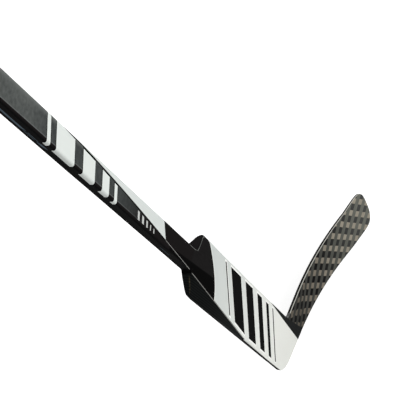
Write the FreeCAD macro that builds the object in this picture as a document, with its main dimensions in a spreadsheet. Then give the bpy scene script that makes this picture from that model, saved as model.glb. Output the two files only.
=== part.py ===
import FreeCAD, Part
import os
import math
import Sketcher

# Hockey goalie stick, in millimetres. Frame: the sole of the blade lies on Z = 0, X runs along the blade to
# the toe, the front face looks along -Y. The shaft leans back from the blade by lie_tilt.
# "Stick frame" below means coordinates in the leaned frame: x across the shaft toward the toe, zero on the
# shaft axis, and z up the shaft, zero where the heel edge would meet the sole.

doc = FreeCAD.newDocument("goalie_stick")
sheet = doc.addObject("Spreadsheet::Sheet", "sizes")

SIZES = [
    ("lie_tilt", 32.4, "lean of the shaft from the vertical, degrees"),
    ("heel_back", 106.0, "from the origin back to the corner of heel edge and sole"),
    ("shaft_width", 29.3, "wide side of the shaft"),
    ("shaft_depth", 19.9, "narrow side of the shaft"),
    ("shaft_corner", 3.3, "corner radius of the shaft"),
    ("shaft_wall", 2.2, "wall of the shaft tube"),
    ("shaft_length", 780.0, "shaft above the shoulder"),
    ("plug_reach", 32.0, "plug inside the tube"),
    ("plug_cap", 6.0, "cap of the plug"),
    ("plug_round", 2.5, "rounding of the cap"),
    ("tang_up", 92.0, "tang inside the tube"),
    ("tang_down", 46.0, "tang inside the paddle"),
    ("paddle_length", 635.0, "heel corner to shoulder, along the shaft"),
    ("toe_reach_top", 36.2, "shaft axis to the toe edge at the shoulder"),
    ("toe_reach_low", 40.4, "shaft axis to the toe edge at the blade"),
    ("heel_reach", 39.6, "shaft axis to the heel edge"),
    ("toe_set", 18.0, "how far below the shoulder the toe side starts to widen"),
    ("toe_drop", 28.0, "fall of the toe-side shoulder"),
    ("heel_set", 17.0, "how far below the shoulder the heel side starts to widen"),
    ("heel_drop", 64.5, "fall of the heel-side shoulder"),
    ("toe_corner", 4.0, "rounding of the toe-side shoulder corner"),
    ("heel_corner", 23.0, "rounding of the heel-side shoulder corner"),
    ("heel_round", 58.0, "rounding of the heel"),
    ("taper_end", 88.5, "height up the shaft where the paddle is as thin as the blade"),
    ("front_low", 4.1, "front face of the blade and lower paddle, from the middle plane"),
    ("back_low", 2.8, "back face of the blade and lower paddle, from the middle plane"),
    ("facet_start", 15.25, "crease of the heel-side facet at the shoulder, from the shaft axis"),
    ("facet_end", 264.5, "height up the shaft where the crease meets the heel edge"),
    ("facet_depth", 13.0, "how far the facet falls back at the heel edge of the shoulder"),
    ("bevel_start", 10.6, "start of the two bevels of the back at the shoulder, from the shaft axis"),
    ("bevel_end", 125.0, "height up the shaft where the bevels run out at the edges"),
    ("toe_bevel", 15.4, "how far the back falls to the front at the toe edge of the shoulder"),
    ("heel_bevel", 3.3, "how far the back falls to the front at the heel edge of the shoulder"),
    ("skin", 1.2, "laminate on the faces"),
    ("wall", 3.2, "laminate on the edges of the paddle and the blade"),
    ("bond", 0.12, "bond line between pieces"),
    ("foam_gap", 0.35, "adhesive between the foam of the blade and its skins"),
    ("spar_width", 9.0, "width of the spar"),
    ("block_top", 75.0, "top of the heel block, up the shaft"),
    ("tongue_reach", 56.0, "tongue of the heel block into the blade, along the sole"),
    ("blade_length", 374.0, "heel corner to the lower corner of the toe, before it is rounded"),
    ("blade_height", 83.0, "height of the blade at the joint"),
    ("toe_flare", 18.0, "rise of the top edge from the joint to the top corner of the toe"),
    ("joint_round", 36.5, "rounding between the paddle and the top of the blade"),
    ("curve_start", 97.0, "heel corner to the start of the curve"),
    ("toe_hook", 49.0, "offset of the toe to the front"),
    ("toe_thin", 2.2, "how much thinner the toe is than the heel"),
    ("sole_lift", 68.0, "length of the rising sole at the toe"),
    ("sole_rise", 12.2, "rise of the sole at the lower corner of the toe"),
    ("tip_round", 29.5, "rounding of the lower corner of the toe"),
    ("top_back", 31.0, "how far the top corner of the toe lies behind the lower one"),
    ("top_round", 13.0, "rounding of the top corner of the toe"),
    ("rib_height", 52.0, "middle of the rib above the sole"),
    ("rib_width", 5.0, "width of the rib"),
    ("overrun", 20.0, "how far openings and cutting shapes run past the piece they cut"),
    ("span", 170.0, "width of the shapes that carry an outline, more than the curved blade is deep"),
]
for row, (alias, number, note) in enumerate(SIZES, 1):
    sheet.set(f"A{row}", alias)
    sheet.set(f"B{row}", str(number))
    sheet.setAlias(f"B{row}", alias)
    sheet.set(f"C{row}", note)
doc.recompute()


def size(alias):
    return f"sizes.{alias}"


def number_of(expression):
    return float(sheet.evalExpression(expression))


TILT = "(sizes.lie_tilt * 1 deg)"
SHOULDER = size("paddle_length")
HEEL_X = "(-sizes.heel_back)"
HEEL_EDGE = "-sizes.heel_reach"
JOINT = size("toe_reach_low")
OVERRUN = size("overrun")
SOLE = "0"
# From the heel corner to the points where the rounded heel meets the sole and the heel edge.
HEEL_RUN = f"(sizes.heel_round * tan(45 deg - {TILT} / 2))"
JOINT_RUN = f"(sizes.joint_round * tan(45 deg - {TILT} / 2))"


def leaned(across, up):
    """Expressions for X and Z of a point given in the stick frame."""
    x = f"({HEEL_X} + (({across}) + sizes.heel_reach) * cos({TILT}) - ({up}) * sin({TILT}))"
    z = f"((({across}) + sizes.heel_reach) * sin({TILT}) + ({up}) * cos({TILT}))"
    return x, z


def along(run):
    """Expression for X of a point that lies run from the heel corner along the sole."""
    return f"({HEEL_X} + ({run}))"


def sketch_on(body, role, name):
    sketch = body.newObject("Sketcher::SketchObject", name)
    plane = next(o for o in body.Origin.OriginFeatures if o.Role == role)
    sketch.AttachmentSupport = [(plane, "")]
    sketch.MapMode = "FlatFace"
    return sketch


def outline(sketch, points, arcs=None):
    """A closed outline. points holds pairs of expressions. arcs maps the number of a side to its radius and
    to +1 where the side turns left or -1 where it turns right."""
    arcs = arcs or {}
    first = sketch.GeometryCount
    count = len(points)
    spots = [FreeCAD.Vector(number_of(x), number_of(y), 0) for x, y in points]
    starts, ends = [], []
    for i in range(count):
        a, b = spots[i], spots[(i + 1) % count]
        if i in arcs:
            radius = number_of(arcs[i][0])
            turn = arcs[i][1]
            chord = b.sub(a)
            reach = math.sqrt(max(radius ** 2 - chord.Length ** 2 / 4, 0.0))
            left = FreeCAD.Vector(-chord.y, chord.x, 0).normalize()
            middle = (a + b) * 0.5 + left * (reach * turn)
            angle_a = math.atan2(a.y - middle.y, a.x - middle.x)
            angle_b = math.atan2(b.y - middle.y, b.x - middle.x)
            circle = Part.Circle(middle, FreeCAD.Vector(0, 0, 1), radius)
            if turn > 0:
                sketch.addGeometry(Part.ArcOfCircle(circle, angle_a, angle_b))
                starts.append(1)
                ends.append(2)
            else:
                sketch.addGeometry(Part.ArcOfCircle(circle, angle_b, angle_a))
                starts.append(2)
                ends.append(1)
        else:
            sketch.addGeometry(Part.LineSegment(a, b))
            starts.append(1)
            ends.append(2)
    for i in range(count):
        after = (i + 1) % count
        joined = (first + i, ends[i], first + after, starts[after])
        sketch.addConstraint(Sketcher.Constraint("Coincident", *joined))
    for i, (x, y) in enumerate(points):
        vertex = (first + i, starts[i])
        at = sketch.addConstraint(Sketcher.Constraint("DistanceX", -1, 1, *vertex, spots[i].x))
        sketch.setExpression(f"Constraints[{at}]", x)
        if y == SOLE:
            sketch.addConstraint(Sketcher.Constraint("PointOnObject", *vertex, -1))
        else:
            at = sketch.addConstraint(Sketcher.Constraint("DistanceY", -1, 1, *vertex, spots[i].y))
            sketch.setExpression(f"Constraints[{at}]", y)
    for i, (radius, turn) in arcs.items():
        at = sketch.addConstraint(Sketcher.Constraint("Radius", first + i, number_of(radius)))
        sketch.setExpression(f"Constraints[{at}]", radius)
    return sketch


def pad(body, sketch, length, both_sides=False):
    feature = body.newObject("PartDesign::Pad", sketch.Name + "_pad")
    feature.Profile = sketch
    feature.setExpression("Length", length)
    if both_sides:
        feature.SideType = "Symmetric"
    return feature


def lean(thing):
    """Sets a body that is drawn in the stick frame into the frame of the part."""
    thing.Placement = FreeCAD.Placement(
        FreeCAD.Vector(0, 0, 0), FreeCAD.Rotation(FreeCAD.Vector(0, 1, 0), -number_of("sizes.lie_tilt"))
    )
    x, z = leaned("0", "0")
    thing.setExpression("Placement.Base.x", x)
    thing.setExpression("Placement.Base.z", z)
    thing.setExpression("Placement.Rotation.Angle", f"-{TILT}")


def side_prism(name, points, arcs=None):
    """A prism across the whole stick whose outline is seen from the front."""
    body = doc.addObject("PartDesign::Body", name)
    sketch = outline(sketch_on(body, "XZ_Plane", name + "_outline"), points, arcs)
    pad(body, sketch, size("span"), both_sides=True)
    return body


def rounded_section(sketch, half_width, half_depth, corner):
    w, d, r = f"({half_width})", f"({half_depth})", f"({corner})"
    points = [
        (f"-{w} + {r}", f"-{d}"), (f"{w} - {r}", f"-{d}"), (w, f"-{d} + {r}"), (w, f"{d} - {r}"),
        (f"{w} - {r}", d), (f"-{w} + {r}", d), (f"-{w}", f"{d} - {r}"), (f"-{w}", f"-{d} + {r}"),
    ]
    return outline(sketch, points, {i: (r, 1) for i in (1, 3, 5, 7)})


def boolean(kind, name, base, tool):
    feature = doc.addObject("Part::" + kind, name)
    feature.Base = base
    feature.Tool = tool
    return feature


# Shaft: a hollow tube, a plug in its top end and a tang in its lower end.
HALF_W = "sizes.shaft_width / 2"
HALF_D = "sizes.shaft_depth / 2"
BORE_W = f"{HALF_W} - sizes.shaft_wall"
BORE_D = f"{HALF_D} - sizes.shaft_wall"
BORE_R = "sizes.shaft_corner - sizes.shaft_wall"
TOP = f"({SHOULDER} + sizes.shaft_length)"

shaft = doc.addObject("PartDesign::Body", "shaft_tube")
section = sketch_on(shaft, "XY_Plane", "shaft_section")
section.setExpression("AttachmentOffset.Base.z", f"{SHOULDER} + sizes.bond")
rounded_section(section, HALF_W, HALF_D, size("shaft_corner"))
rounded_section(section, BORE_W, BORE_D, BORE_R)
pad(shaft, section, "sizes.shaft_length - sizes.bond")
lean(shaft)

plug = doc.addObject("PartDesign::Body", "butt_end_plug")
cap_section = sketch_on(plug, "XY_Plane", "plug_cap_section")
cap_section.setExpression("AttachmentOffset.Base.z", f"{TOP} + sizes.bond")
rounded_section(cap_section, HALF_W, HALF_D, size("shaft_corner"))
cap = pad(plug, cap_section, size("plug_cap"))
plug_section = sketch_on(plug, "XY_Plane", "plug_section")
plug_section.setExpression("AttachmentOffset.Base.z", f"{TOP} - sizes.plug_reach")
rounded_section(plug_section, f"{BORE_W} - sizes.bond", f"{BORE_D} - sizes.bond", f"{BORE_R} - sizes.bond")
stem = pad(plug, plug_section, "sizes.plug_reach + sizes.bond + sizes.plug_cap / 2")
doc.recompute()
cap_top = number_of(f"{TOP} + sizes.bond + sizes.plug_cap")
rim = [i for i, e in enumerate(stem.Shape.Edges, 1) if all(abs(v.Z - cap_top) < 1e-3 for v in e.Vertexes)]
plug_rounding = plug.newObject("PartDesign::Fillet", "plug_rounding")
plug_rounding.Base = (stem, [f"Edge{i}" for i in rim])
plug_rounding.setExpression("Radius", size("plug_round"))
lean(plug)

tang = doc.addObject("PartDesign::Body", "shaft_tang")
tang_section = sketch_on(tang, "XY_Plane", "tang_section")
tang_section.setExpression("AttachmentOffset.Base.z", f"{SHOULDER} - sizes.tang_down")
rounded_section(tang_section, f"{BORE_W} - sizes.bond", f"{BORE_D} - sizes.bond", f"{BORE_R} - sizes.bond")
pad(tang, tang_section, "sizes.tang_down + sizes.tang_up")
lean(tang)


# Paddle: the form is what two prisms have in common, the outline seen from the front and the taper seen from
# the edge. A facet is cut off along a crease that runs across the front to the heel edge.
def taper(name, inset):
    """The band between the front and back faces, seen from the edge, with both faces set in by inset."""
    body = doc.addObject("PartDesign::Body", name)
    sketch = sketch_on(body, "YZ_Plane", name + "_outline")
    above, below = f"{SHOULDER} + {OVERRUN}", "-sizes.blade_height - sizes.overrun"
    outline(sketch, [
        (f"-{HALF_D} + {inset}", above), (f"-{HALF_D} + {inset}", SHOULDER),
        (f"-sizes.front_low + {inset}", size("taper_end")), (f"-sizes.front_low + {inset}", below),
        (f"sizes.back_low - {inset}", below), (f"sizes.back_low - {inset}", size("taper_end")),
        (f"{HALF_D} - {inset}", SHOULDER), (f"{HALF_D} - {inset}", above),
    ])
    pad(body, sketch, size("span"), both_sides=True)
    lean(body)
    return body


def wedge(name, face, low, edge, crease, depth, end, inset):
    """What a slanted plane takes off the front (face -1) or the back (face 1), set in by inset. At the
    shoulder the plane starts at the crease and lies depth below the face at the edge. It runs out at the
    edge at the height end, and is drawn from just above there to past the shoulder."""
    side = 1 if number_of(edge) > number_of(crease) else -1
    run = f"((({edge}) - ({crease})) * {side})"
    slope = f"(({HALF_D} - {low}) / ({SHOULDER} - sizes.taper_end))"
    sections = []
    for tag, height in (("top", f"({SHOULDER} + {OVERRUN})"), ("end", f"({end} + sizes.skin)")):
        share = f"(({height} - {end}) / ({SHOULDER} - {end}))"
        level = f"({face} * ({HALF_D} - {slope} * ({SHOULDER} - {height}) - {inset}))"
        inner = f"(({edge}) - {side} * {run} * {share})"
        outer = f"(({edge}) + {side} * {OVERRUN})"
        far = f"({level} + {face} * {OVERRUN})"
        fall = f"({depth} * ({share} + {OVERRUN} / {run}))"
        sketch = doc.addObject("Sketcher::SketchObject", f"{name}_{tag}")
        outline(sketch, [(inner, level), (inner, far), (outer, far), (outer, f"{level} - {face} * {fall}")])
        sketch.setExpression("Placement.Base.z", height)
        sections.append(sketch)
    cutter = doc.addObject("Part::Loft", name)
    cutter.Sections = sections
    cutter.Solid = True
    cutter.Ruled = True
    lean(cutter)
    return cutter


def heel_facet(name, inset):
    return wedge(name, -1, size("front_low"), HEEL_EDGE, "-sizes.facet_start", size("facet_depth"),
                 size("facet_end"), inset)


def toe_bevel(name, inset):
    return wedge(name, 1, size("back_low"), JOINT, size("bevel_start"), size("toe_bevel"),
                 size("bevel_end"), inset)


def heel_bevel(name, inset):
    return wedge(name, 1, size("back_low"), HEEL_EDGE, "-sizes.bevel_start", size("heel_bevel"),
                 size("bevel_end"), inset)


def corner_rounding(body, spot, radius):
    """Rounds the edge that runs through the prism at the given point of its outline."""
    doc.recompute()
    base = body.Tip
    x, z = number_of(spot[0]), number_of(spot[1])
    edges = enumerate(base.Shape.Edges, 1)
    found = [f"Edge{i}" for i, e in edges if all(math.hypot(v.X - x, v.Z - z) < 0.01 for v in e.Vertexes)]
    feature = body.newObject("PartDesign::Fillet", f"{base.Name}_round")
    feature.Base = (base, found)
    feature.setExpression("Radius", radius)


JOINT_SPAN = f"(({JOINT} + sizes.heel_reach) / cos({TILT}))"
CORNER_UP = f"((sizes.blade_height - ({JOINT} + sizes.heel_reach) * sin({TILT})) / cos({TILT}))"
CORNER_RUN = f"(({JOINT} + sizes.heel_reach) * cos({TILT}) - {CORNER_UP} * sin({TILT}))"
TOP_RUN = f"({CORNER_RUN} + {JOINT_RUN})"
MOUTH = f"({CORNER_UP} - 2 * sizes.wall)"
TANG_HALF = f"({BORE_W})"
SHELF = f"({SHOULDER} - sizes.toe_drop - sizes.wall)"
WELL = f"({SHOULDER} - sizes.heel_set - sizes.wall)"
EAVE = f"({SHOULDER} - sizes.heel_drop - sizes.wall / 2)"

PADDLE = [
    leaned(HALF_W, SHOULDER),
    leaned(f"-{HALF_W}", SHOULDER),
    leaned(f"-{HALF_W}", f"{SHOULDER} - sizes.heel_set"),
    leaned(HEEL_EDGE, f"{SHOULDER} - sizes.heel_drop"),
    leaned(HEEL_EDGE, HEEL_RUN),
    (along(HEEL_RUN), SOLE),
    (along(f"{JOINT_SPAN} - sizes.bond"), SOLE),
    leaned(f"{JOINT} - sizes.bond", size("taper_end")),
    leaned(size("toe_reach_top"), f"{SHOULDER} - sizes.toe_drop"),
    leaned(HALF_W, f"{SHOULDER} - sizes.toe_set"),
]
CAVITY = [
    leaned(TANG_HALF, f"{SHOULDER} + {OVERRUN}"),
    leaned(f"-{TANG_HALF}", f"{SHOULDER} + {OVERRUN}"),
    leaned(f"-{TANG_HALF}", WELL),
    leaned(f"{HEEL_EDGE} + sizes.wall", EAVE),
    leaned(f"{HEEL_EDGE} + sizes.wall", HEEL_RUN),
    (along(HEEL_RUN), size("wall")),
    (along(f"{JOINT_SPAN} + {OVERRUN}"), size("wall")),
    leaned(f"{JOINT} + {OVERRUN}", MOUTH),
    leaned(f"{JOINT} - sizes.wall", MOUTH),
    leaned(f"{JOINT} - sizes.wall", size("taper_end")),
    leaned("sizes.toe_reach_top - sizes.wall", SHELF),
    leaned(TANG_HALF, SHELF),
]
paddle_prism = side_prism("paddle_prism", PADDLE, {4: (size("heel_round"), 1)})
corner_rounding(paddle_prism, PADDLE[8], size("toe_corner"))
corner_rounding(paddle_prism, PADDLE[3], size("heel_corner"))
paddle_block = boolean("Common", "paddle_block", taper("paddle_taper", "0"), paddle_prism)


def cut_all(name, base, cutters):
    """base less all the cutters, under the name of the last cut."""
    for i, cutter in enumerate(cutters):
        last = i == len(cutters) - 1
        base = boolean("Cut", name if last else f"{name}_step_{i}", base, cutter)
    return base


def slants(name, inset):
    return [heel_facet(name + "_facet", inset), toe_bevel(name + "_toe_bevel", inset),
            heel_bevel(name + "_heel_bevel", inset)]


paddle_form = cut_all("paddle_form", paddle_block, slants("paddle", "0"))
cavity_prism = side_prism("cavity_prism", CAVITY, {4: ("sizes.heel_round - sizes.wall", 1)})
cavity_block = boolean("Common", "cavity_block", taper("cavity_taper", size("skin")), cavity_prism)
cavity = cut_all("cavity", cavity_block, slants("cavity", size("skin")))
paddle_shell = boolean("Cut", "paddle_shell", paddle_form, cavity)


def half_space(name, side):
    """One side of the plane where the two paddle shells meet."""
    box = doc.addObject("Part::Box", name)
    box.setExpression("Length", "4 * sizes.paddle_length")
    box.setExpression("Height", "4 * sizes.paddle_length")
    box.setExpression("Width", size("paddle_length"))
    box.setExpression("Placement.Base.x", "-2 * sizes.paddle_length")
    box.setExpression("Placement.Base.z", "-2 * sizes.paddle_length")
    box.setExpression("Placement.Base.y", side)
    return box


front_half = half_space("front_half", "-sizes.paddle_length - sizes.bond / 2")
back_half = half_space("back_half", "sizes.bond / 2")
paddle_front_shell = boolean("Common", "paddle_front_shell", paddle_shell, front_half)
paddle_back_shell = boolean("Common", "paddle_back_shell", paddle_shell, back_half)

# Inside the paddle: a spar below the tang and a foam core on each side.
FILL = "(sizes.skin + sizes.bond)"
FLOOR = "(sizes.block_top + sizes.bond)"
UNDER_TANG = f"({SHOULDER} - sizes.tang_down - sizes.bond)"
SPAR = "(sizes.spar_width / 2)"
INSIDE = "(sizes.wall + sizes.bond)"

spar_prism = side_prism("spar_prism", [
    leaned(SPAR, FLOOR), leaned(SPAR, UNDER_TANG), leaned(f"-{SPAR}", UNDER_TANG), leaned(f"-{SPAR}", FLOOR),
])
paddle_spar = boolean("Common", "paddle_spar", taper("spar_taper", FILL), spar_prism)

toe_core_prism = side_prism("toe_core_prism", [
    leaned(f"{SPAR} + sizes.bond", FLOOR),
    leaned(f"{JOINT} - {INSIDE}", FLOOR),
    leaned(f"{JOINT} - {INSIDE}", size("taper_end")),
    leaned(f"sizes.toe_reach_top - {INSIDE}", f"{SHELF} - sizes.bond"),
    leaned(f"{TANG_HALF} + sizes.bond", f"{SHELF} - sizes.bond"),
    leaned(f"{TANG_HALF} + sizes.bond", UNDER_TANG),
    leaned(f"{SPAR} + sizes.bond", UNDER_TANG),
])
toe_core_block = boolean("Common", "toe_core_block", taper("toe_core_taper", FILL), toe_core_prism)
paddle_core_toe = cut_all("paddle_core_toe", toe_core_block, [toe_bevel("toe_core_bevel", FILL)])

heel_core_prism = side_prism("heel_core_prism", [
    leaned(f"-{SPAR} - sizes.bond", FLOOR),
    leaned(f"-{SPAR} - sizes.bond", UNDER_TANG),
    leaned(f"-{TANG_HALF} - sizes.bond", UNDER_TANG),
    leaned(f"-{TANG_HALF} - sizes.bond", f"{WELL} - 3 * sizes.bond"),
    leaned(f"{HEEL_EDGE} + {INSIDE}", f"{EAVE} - 3 * sizes.bond"),
    leaned(f"{HEEL_EDGE} + {INSIDE}", FLOOR),
])
heel_core_block = boolean("Common", "heel_core_block", taper("heel_core_taper", FILL), heel_core_prism)
paddle_core_heel = cut_all("paddle_core_heel", heel_core_block, [
    heel_facet("heel_core_facet", FILL), heel_bevel("heel_core_bevel", FILL),
])

# Blade: each piece is what a curved band, seen from above, and an outline, seen from the front, have in
# common.
CURVE_SPAN = "(sizes.blade_length - sizes.curve_start)"
BACK_HOOK = "(sizes.toe_hook + sizes.toe_thin)"
FRONT_RADIUS = f"(({CURVE_SPAN} ^ 2 + sizes.toe_hook ^ 2) / (2 * sizes.toe_hook))"
BACK_RADIUS = f"(({CURVE_SPAN} ^ 2 + {BACK_HOOK} ^ 2) / (2 * {BACK_HOOK}))"
FRONT = "-sizes.front_low"
BACK = size("back_low")


def curved_band(name, front, front_radius, back, back_radius):
    """The band between two curves seen from above: straight past the heel, then an arc to beyond the toe."""
    body = doc.addObject("PartDesign::Body", name)
    sketch = sketch_on(body, "XY_Plane", name + "_outline")
    sketch.setExpression("AttachmentOffset.Base.z", "-sizes.blade_height")
    span = f"({CURVE_SPAN} + {OVERRUN})"
    bend, end = along(size("curve_start")), along(f"sizes.curve_start + {span}")
    begin = along("-sizes.blade_height")
    outline(sketch, [
        (begin, front), (bend, front),
        (end, f"{front} - {front_radius} + sqrt({front_radius} ^ 2 - {span} ^ 2)"),
        (end, f"{back} - {back_radius} + sqrt({back_radius} ^ 2 - {span} ^ 2)"),
        (bend, back), (begin, back),
    ], {1: (front_radius, -1), 3: (back_radius, 1)})
    pad(body, sketch, "4 * sizes.blade_height")
    return body


# The toe: the sole rises to a lower corner, and a straight end leans back from there to a top corner.
SOLE_END = along("sizes.blade_length - sizes.sole_lift")
LOW_CORNER = (along(size("blade_length")), size("sole_rise"))
TOE_TOP = "(sizes.blade_height + sizes.toe_flare)"
TOP_CORNER = (along("sizes.blade_length - sizes.top_back"), TOE_TOP)
LIFT = "atan(sizes.sole_rise / sizes.sole_lift)"
END_LEAN = f"atan(sizes.top_back / ({TOE_TOP} - sizes.sole_rise))"
TOP_SLOPE = f"(sizes.toe_flare / (sizes.blade_length - sizes.top_back - {TOP_RUN}))"
ALONG_SOLE, ALONG_LIFT = "(0 deg)", f"({LIFT})"
ALONG_END, ALONG_TOP = f"(90 deg + {END_LEAN})", f"(180 deg + atan({TOP_SLOPE}))"


def set_in(corner, before, after, inset):
    """A corner moved inward by inset from its two sides, whose directions are before and after."""
    share = f"({inset} / (1 + cos({after} - {before})))"
    x = f"({corner[0]} - (sin({before}) + sin({after})) * {share})"
    z = f"({corner[1]} + (cos({before}) + cos({after})) * {share})"
    return x, z


def lift_start(inset):
    return set_in((SOLE_END, SOLE), ALONG_SOLE, ALONG_LIFT, inset)


def low_corner(inset):
    return set_in(LOW_CORNER, ALONG_LIFT, ALONG_END, inset)


def top_corner(inset):
    return set_in(TOP_CORNER, ALONG_END, ALONG_TOP, inset)


def toe_end(height, inset):
    """The point of the toe's end at a height, set in by inset."""
    x = f"({LOW_CORNER[0]} - ({height} - sizes.sole_rise) * tan({END_LEAN}) - {inset} / cos({END_LEAN}))"
    return x, height


def blade_top(run, inset):
    """The height of the top edge at a run from the heel corner, set in by inset."""
    return f"(sizes.blade_height + {TOP_SLOPE} * ({run} - {TOP_RUN}) - {inset})"


BLADE = [
    (along(JOINT_SPAN), SOLE),
    (SOLE_END, SOLE),
    LOW_CORNER,
    TOP_CORNER,
    (along(TOP_RUN), size("blade_height")),
    leaned(JOINT, f"{CORNER_UP} + {JOINT_RUN}"),
]


def skin_prism(name):
    prism = side_prism(name, BLADE, {4: (size("joint_round"), -1)})
    corner_rounding(prism, LOW_CORNER, size("tip_round"))
    corner_rounding(prism, TOP_CORNER, size("top_round"))
    return prism


front_band = curved_band("front_band", FRONT, FRONT_RADIUS, f"{FRONT} + sizes.skin", FRONT_RADIUS)
back_band = curved_band("back_band", f"{BACK} - sizes.skin", BACK_RADIUS, BACK, BACK_RADIUS)
blade_front_skin = boolean("Common", "blade_front_skin", front_band, skin_prism("front_skin_prism"))
blade_back_skin = boolean("Common", "blade_back_skin", back_band, skin_prism("back_skin_prism"))


FOAM_FILL = "(sizes.skin + sizes.foam_gap)"


def fill_band(name, fill=FILL):
    return curved_band(name, f"{FRONT} + {fill}", FRONT_RADIUS, f"{BACK} - {fill}", BACK_RADIUS)


TONGUE = f"({JOINT_SPAN} + sizes.tongue_reach)"
WALL = size("wall")
strip_prism = side_prism("strip_prism", [
    (along(f"{JOINT_SPAN} + sizes.bond"), SOLE),
    (SOLE_END, SOLE),
    LOW_CORNER,
    TOP_CORNER,
    (along(f"{TOP_RUN} + sizes.bond"), blade_top(f"({TOP_RUN} + sizes.bond)", "0")),
    (along(f"{TOP_RUN} + sizes.bond"), blade_top(f"({TOP_RUN} + sizes.bond)", WALL)),
    top_corner(WALL),
    low_corner(WALL),
    lift_start(WALL),
    (along(f"{JOINT_SPAN} + sizes.bond"), WALL),
])
corner_rounding(strip_prism, LOW_CORNER, size("tip_round"))
corner_rounding(strip_prism, TOP_CORNER, size("top_round"))
corner_rounding(strip_prism, low_corner(WALL), "sizes.tip_round - sizes.wall")
corner_rounding(strip_prism, top_corner(WALL), "sizes.top_round - sizes.wall")
blade_edge_band = boolean("Common", "blade_edge_band", fill_band("strip_fill"), strip_prism)

block_prism = side_prism("block_prism", [
    (along(HEEL_RUN), INSIDE),
    (along(TONGUE), INSIDE),
    (along(TONGUE), f"sizes.blade_height - {INSIDE}"),
    (along(TOP_RUN), f"sizes.blade_height - {INSIDE}"),
    (along(TOP_RUN), size("blade_height")),
    leaned(f"{JOINT} + sizes.bond", f"{CORNER_UP} + {JOINT_RUN} - 2 * sizes.bond"),
    leaned(f"{JOINT} + sizes.bond", f"{MOUTH} - sizes.bond"),
    leaned(f"{JOINT} - {INSIDE}", f"{MOUTH} - sizes.bond"),
    leaned(f"{JOINT} - {INSIDE}", size("block_top")),
    leaned(f"{HEEL_EDGE} + {INSIDE}", size("block_top")),
    leaned(f"{HEEL_EDGE} + {INSIDE}", HEEL_RUN),
], {4: (size("joint_round"), -1), 10: (f"sizes.heel_round - {INSIDE}", 1)})
heel_block = boolean("Common", "heel_block", fill_band("block_fill"), block_prism)

CORE_START = along(f"{TONGUE} + sizes.bond")
RIB_LOW = "(sizes.rib_height - sizes.rib_width / 2)"
RIB_HIGH = "(sizes.rib_height + sizes.rib_width / 2)"
rib_prism = side_prism("rib_prism", [
    (CORE_START, RIB_LOW), toe_end(RIB_LOW, INSIDE), toe_end(RIB_HIGH, INSIDE), (CORE_START, RIB_HIGH),
])
blade_rib = boolean("Common", "blade_rib", fill_band("rib_fill"), rib_prism)
ABOVE_RIB, BELOW_RIB = f"({RIB_HIGH} + sizes.bond)", f"({RIB_LOW} - sizes.bond)"
upper_prism = side_prism("upper_prism", [
    (CORE_START, ABOVE_RIB),
    toe_end(ABOVE_RIB, INSIDE),
    top_corner(INSIDE),
    (CORE_START, blade_top(f"({TONGUE} + sizes.bond)", INSIDE)),
])
corner_rounding(upper_prism, top_corner(INSIDE), f"sizes.top_round - {INSIDE}")
blade_core_upper = boolean("Common", "blade_core_upper", fill_band("upper_fill", FOAM_FILL), upper_prism)
lower_prism = side_prism("lower_prism", [
    (CORE_START, INSIDE),
    lift_start(INSIDE),
    low_corner(INSIDE),
    toe_end(BELOW_RIB, INSIDE),
    (CORE_START, BELOW_RIB),
])
corner_rounding(lower_prism, low_corner(INSIDE), f"sizes.tip_round - {INSIDE}")
blade_core_lower = boolean("Common", "blade_core_lower", fill_band("lower_fill", FOAM_FILL), lower_prism)

PIECES = [
    shaft, plug, tang, paddle_front_shell, paddle_back_shell, paddle_spar, paddle_core_toe, paddle_core_heel,
    heel_block, blade_front_skin, blade_back_skin, blade_edge_band, blade_core_upper, blade_core_lower,
    blade_rib,
]
doc.recompute()
for thing in doc.Objects:
    if {"Invalid", "Error"} & set(thing.State):
        raise RuntimeError(f"{thing.Name} did not build: {thing.State}")
for piece in PIECES:
    if piece.Shape.isNull() or not piece.Shape.isValid() or len(piece.Shape.Solids) != 1:
        raise RuntimeError(f"{piece.Name} is not one valid solid")
os.makedirs("parts", exist_ok=True)
for piece in PIECES:
    piece.Label = piece.Name
    piece.Shape.exportStep(f"parts/{piece.Label}.step")
    print(piece.Label, round(piece.Shape.Volume), "mm3")
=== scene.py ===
import math

import bmesh
import bpy
from mathutils import Matrix, Vector


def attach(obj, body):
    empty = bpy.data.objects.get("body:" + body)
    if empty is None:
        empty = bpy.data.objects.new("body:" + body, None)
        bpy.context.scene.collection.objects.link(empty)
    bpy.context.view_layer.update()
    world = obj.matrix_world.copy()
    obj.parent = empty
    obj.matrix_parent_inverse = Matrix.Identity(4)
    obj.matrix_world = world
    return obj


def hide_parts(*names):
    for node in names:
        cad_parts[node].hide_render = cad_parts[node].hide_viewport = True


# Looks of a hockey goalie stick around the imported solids. Sizes are in millimetres. Points are given in the stick
# frame, x across the shaft toward the toe, y to the back and z up the shaft from the heel corner, or on the blade
# as a run along the sole from the heel corner and a height above it.
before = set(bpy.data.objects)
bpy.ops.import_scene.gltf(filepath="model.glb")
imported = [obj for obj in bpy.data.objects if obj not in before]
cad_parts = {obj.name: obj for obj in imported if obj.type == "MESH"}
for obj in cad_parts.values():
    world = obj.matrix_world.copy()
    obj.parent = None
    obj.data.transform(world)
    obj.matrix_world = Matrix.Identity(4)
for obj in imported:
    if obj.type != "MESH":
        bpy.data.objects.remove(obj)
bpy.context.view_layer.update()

# Sizes of the solids
MM = 0.001
TILT = math.radians(32.4)
COS, SIN = math.cos(TILT), math.sin(TILT)
HEEL_BACK, HEEL_REACH, HEEL_ROUND = 106.0, 39.6, 58.0
HALF_W, HALF_D, SHAFT_CORNER = 14.65, 9.95, 3.3
SHOULDER = 635.0
SHAFT_TOP = SHOULDER + 780.0
TAPER_END = 88.5
FRONT_LOW, BACK_LOW = 4.1, 2.8
TOE_TOP, TOE_LOW = 36.2, 40.4
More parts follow.
